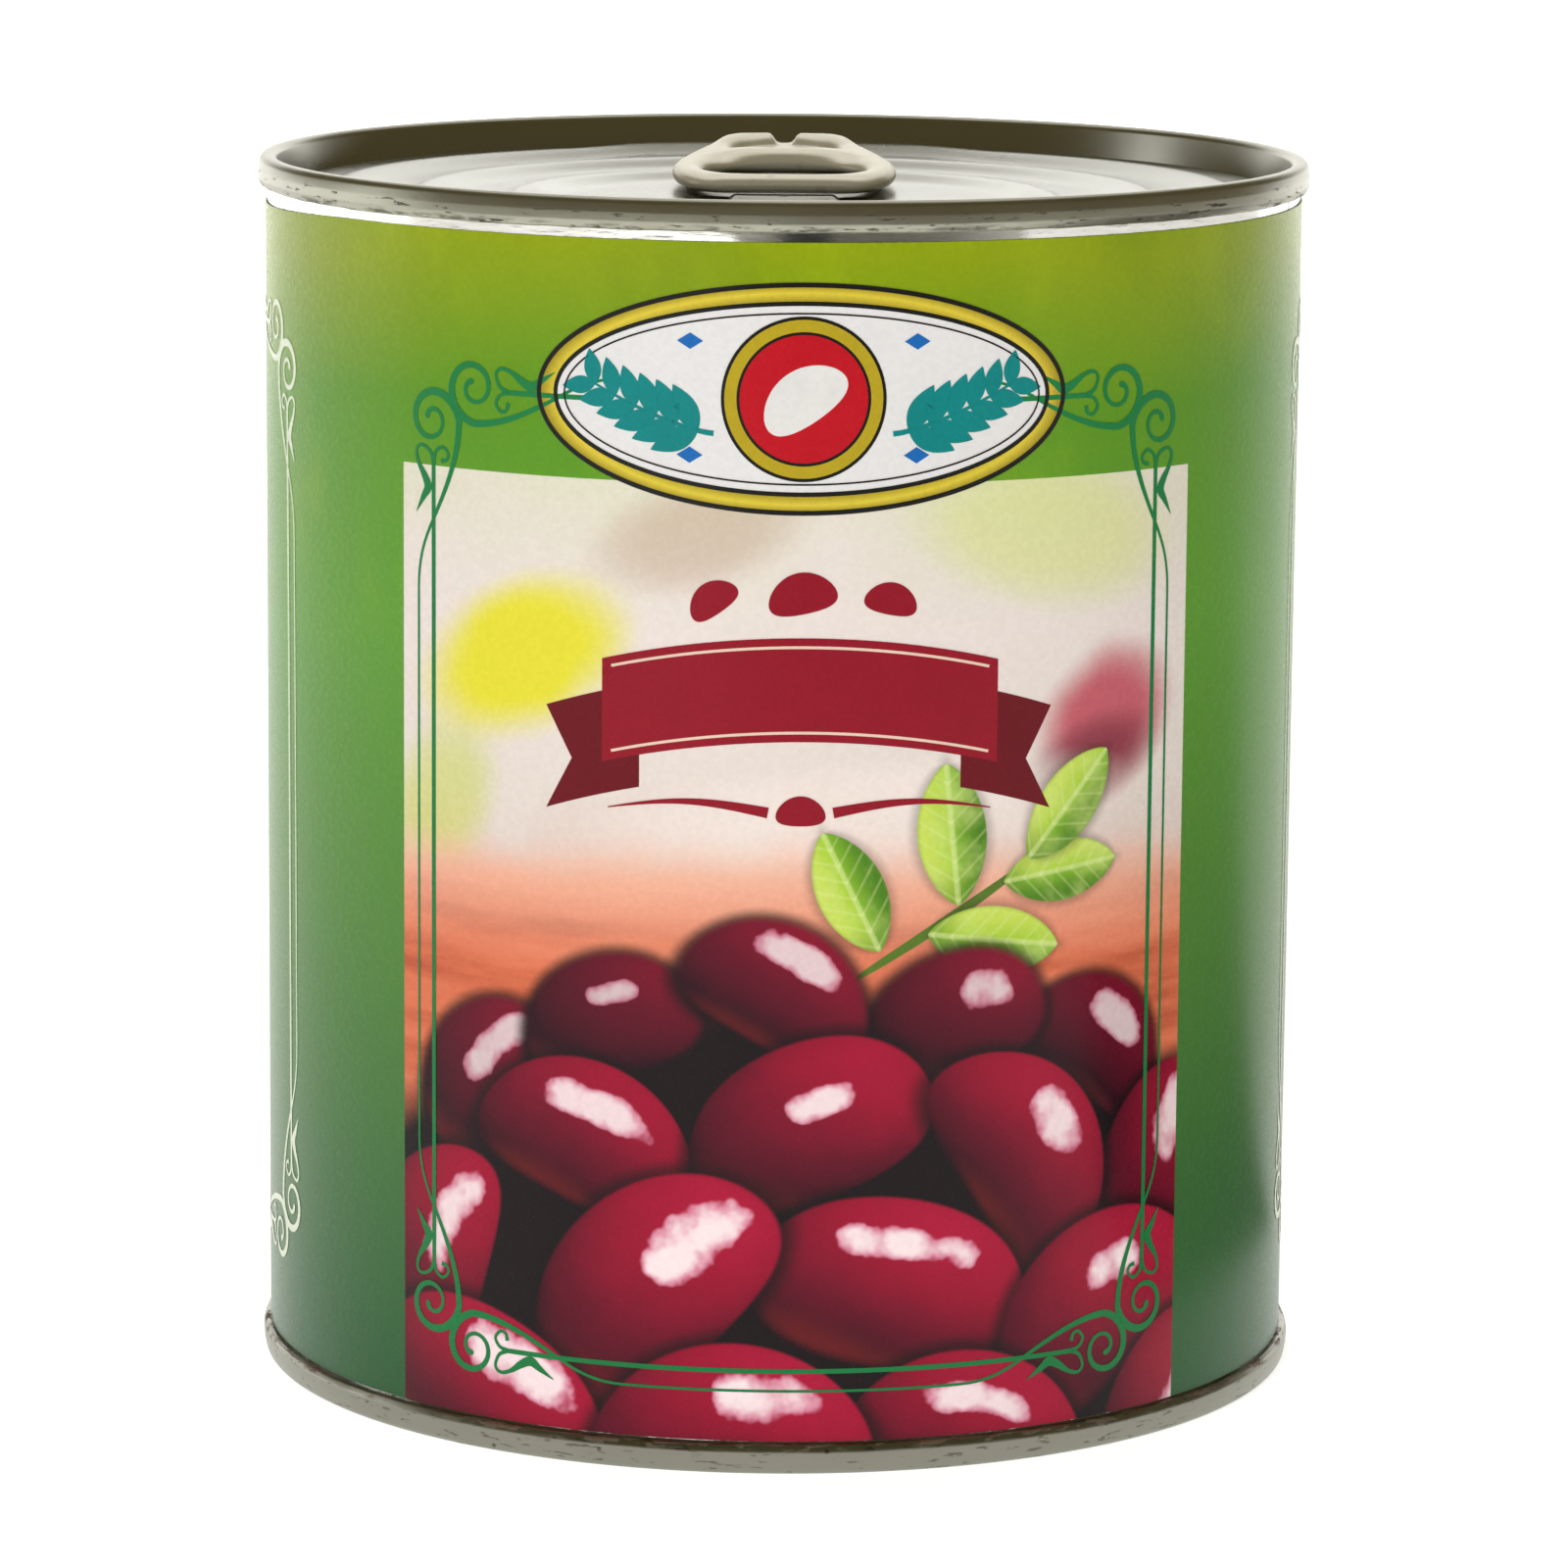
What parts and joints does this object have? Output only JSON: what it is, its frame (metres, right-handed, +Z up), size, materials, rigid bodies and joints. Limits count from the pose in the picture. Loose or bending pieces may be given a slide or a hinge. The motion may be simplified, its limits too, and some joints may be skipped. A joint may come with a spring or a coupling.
{
  "type": "canned beans",
  "caption": "Shut round food can of beans with seamed ends, a ring-pull lid and a wrapped paper label in green, cream and crimson.",
  "frame": {"origin": "centre of the circle that the can stands on", "axes": "+Z up along the can's axis, front of the label towards -Y, nose of the pull ring towards +Y"},
  "size_m": [0.1024, 0.1024, 0.1187],
  "materials": {
    "tin": "dull tinplate",
    "lid": "satin lacquered tinplate",
    "ring": "satin rolled steel",
    "paper": "coated printed paper"
  },
  "bodies": {
    "root": {"can_body": "tin", "label": "paper", "bottom_end": "tin", "top_end": "lid", "pull_ring": "ring"}
  },
  "joints": []
}
